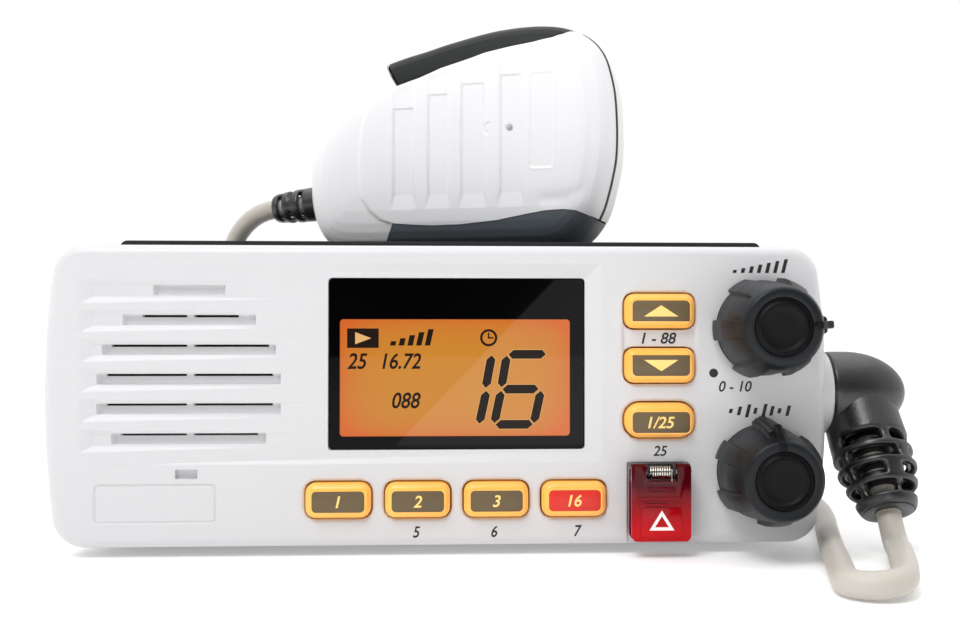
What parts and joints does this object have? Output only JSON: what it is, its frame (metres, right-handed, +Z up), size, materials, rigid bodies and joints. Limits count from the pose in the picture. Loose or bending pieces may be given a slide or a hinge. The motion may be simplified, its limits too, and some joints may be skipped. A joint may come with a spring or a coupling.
{
  "type": "vhf marine radio",
  "caption": "Fixed-mount marine radio with a white front, backlit display, grille, push keys, rotary knobs, flip cover, finned rear and a fist microphone on a coiled cord.",
  "frame": {"origin": "centre of the flat underside, in the plane the set stands on", "axes": "+X to the right seen from the front, +Y from the front face to the rear fins, +Z up"},
  "size_m": [0.201, 0.2024, 0.1395],
  "materials": {
    "white_case": "satin white moulding",
    "seal_black": "matt",
    "chassis_black": "fine textured black",
    "screw_steel": "plated",
    "socket_metal": "nickel plated",
    "insulator_white": "matt",
    "socket_black": "matt",
    "board_green": "solder mask",
    "speaker_steel": "plain",
    "speaker_paper": "matt",
    "window_clear": "clear pane",
    "lcd_amber": "backlit amber",
    "guide_clear": "diffusing",
    "silicone_grey": "matt",
    "key_amber": "translucent amber",
    "key_red": "translucent with red cap",
    "siren_red": "gloss",
    "cover_red": "clear red",
    "knob_charcoal": "soft touch",
    "shaft_metal": "plain",
    "boot_rubber": "fine grain",
    "mic_white": "satin white moulding",
    "mic_charcoal": "matt",
    "cord_ivory": "smooth jacket"
  },
  "bodies": {
    "radio": {"antenna_insert": "insulator_white", "antenna_socket": "socket_metal", "backlight_guide": "guide_clear", "bezel_gasket": "seal_black", "bezel_screws": "screw_steel", "board_connector": "socket_black", "bottom_cover": "chassis_black", "chassis_housing": "chassis_black", "cord_curly": "cord_ivory", "cord_tail_mic": "cord_ivory", "cord_tail_radio": "cord_ivory", "cover_screws": "screw_steel", "display_frame": "socket_black", "display_window": "window_clear", "elbow_boot": "boot_rubber", "front_bezel": "white_case", "front_circuit_board": "board_green", "heat_sink": "chassis_black", "heat_sink_screws": "screw_steel", "keypad_mat": "silicone_grey", "lcd_glass": "lcd_amber", "main_circuit_board": "board_green", "power_inlet": "socket_black", "power_module": "socket_black", "screening_can": "screw_steel", "siren_hinge_bracket": "screw_steel", "siren_hinge_pin": "screw_steel", "siren_spring": "screw_steel", "speaker_cone": "speaker_paper", "speaker_frame": "speaker_steel", "speaker_jack": "socket_black", "speaker_magnet": "speaker_steel", "speaker_membrane": "speaker_paper", "squelch_potentiometer": "shaft_metal", "volume_potentiometer": "shaft_metal"},
    "volume_knob_group": {"volume_knob": "knob_charcoal", "volume_shaft": "shaft_metal"},
    "squelch_knob_group": {"squelch_knob": "knob_charcoal", "squelch_shaft": "shaft_metal"},
    "channel_up": {"channel_up_key": "key_amber"},
    "channel_down": {"channel_down_key": "key_amber"},
    "power_level": {"power_level_key": "key_amber"},
    "row_key_1": {"key_row_1": "key_amber"},
    "row_key_2": {"key_row_2": "key_amber"},
    "row_key_3": {"key_row_3": "key_amber"},
    "row_key_4": {"key_row_4": "key_red"},
    "siren_push": {"siren_button": "siren_red"},
    "siren_flap": {"siren_cover": "cover_red"},
    "microphone": {"mic_front_shell": "mic_white", "mic_rear_shell": "mic_white", "mic_gasket": "seal_black", "mic_side_grip": "mic_charcoal", "mic_screws": "screw_steel", "mic_hanger_stud": "socket_metal", "mic_circuit_board": "board_green", "mic_capsule": "speaker_steel", "mic_strain_relief": "boot_rubber"},
    "ptt": {"ptt_button": "mic_charcoal"}
  },
  "joints": [
    {"name": "volume_turn", "type": "hinge", "parent": "radio", "child": "volume_knob_group", "pos_m": [0.0747, -0.058, 0.0524], "axis": [0, 1, 0], "range_deg": [-217, 53]},
    {"name": "squelch_turn", "type": "hinge", "parent": "radio", "child": "squelch_knob_group", "pos_m": [0.0748, -0.058, 0.019], "axis": [0, 1, 0], "range_deg": [-135, 135]},
    {"name": "channel_up_press", "type": "slide", "parent": "radio", "child": "channel_up", "axis": [0, 1, 0], "range_m": [0, 0.001], "stiffness_N_per_m": 300},
    {"name": "channel_down_press", "type": "slide", "parent": "radio", "child": "channel_down", "axis": [0, 1, 0], "range_m": [0, 0.001], "stiffness_N_per_m": 300},
    {"name": "power_level_press", "type": "slide", "parent": "radio", "child": "power_level", "axis": [0, 1, 0], "range_m": [0, 0.001], "stiffness_N_per_m": 300},
    {"name": "row_key_1_press", "type": "slide", "parent": "radio", "child": "row_key_1", "axis": [0, 1, 0], "range_m": [0, 0.001], "stiffness_N_per_m": 300},
    {"name": "row_key_2_press", "type": "slide", "parent": "radio", "child": "row_key_2", "axis": [0, 1, 0], "range_m": [0, 0.001], "stiffness_N_per_m": 300},
    {"name": "row_key_3_press", "type": "slide", "parent": "radio", "child": "row_key_3", "axis": [0, 1, 0], "range_m": [0, 0.001], "stiffness_N_per_m": 300},
    {"name": "row_key_4_press", "type": "slide", "parent": "radio", "child": "row_key_4", "axis": [0, 1, 0], "range_m": [0, 0.001], "stiffness_N_per_m": 300},
    {"name": "siren_push_press", "type": "slide", "parent": "radio", "child": "siren_push", "axis": [0, 1, 0], "range_m": [0, 0.001], "stiffness_N_per_m": 300},
    {"name": "siren_flap_lift", "type": "hinge", "parent": "radio", "child": "siren_flap", "pos_m": [0.0503, -0.0616, 0.0193], "axis": [-1, 0, 0], "range_deg": [0, 100], "stiffness_Nm_per_rad": 0.004},
    {"name": "microphone_lift", "type": "slide", "parent": "radio", "child": "microphone", "axis": [0, 0, 1], "range_m": [0, 0.03]},
    {"name": "ptt_press", "type": "slide", "parent": "microphone", "child": "ptt", "axis": [0, 0, -1], "range_m": [0, 0.0015], "stiffness_N_per_m": 600}
  ]
}
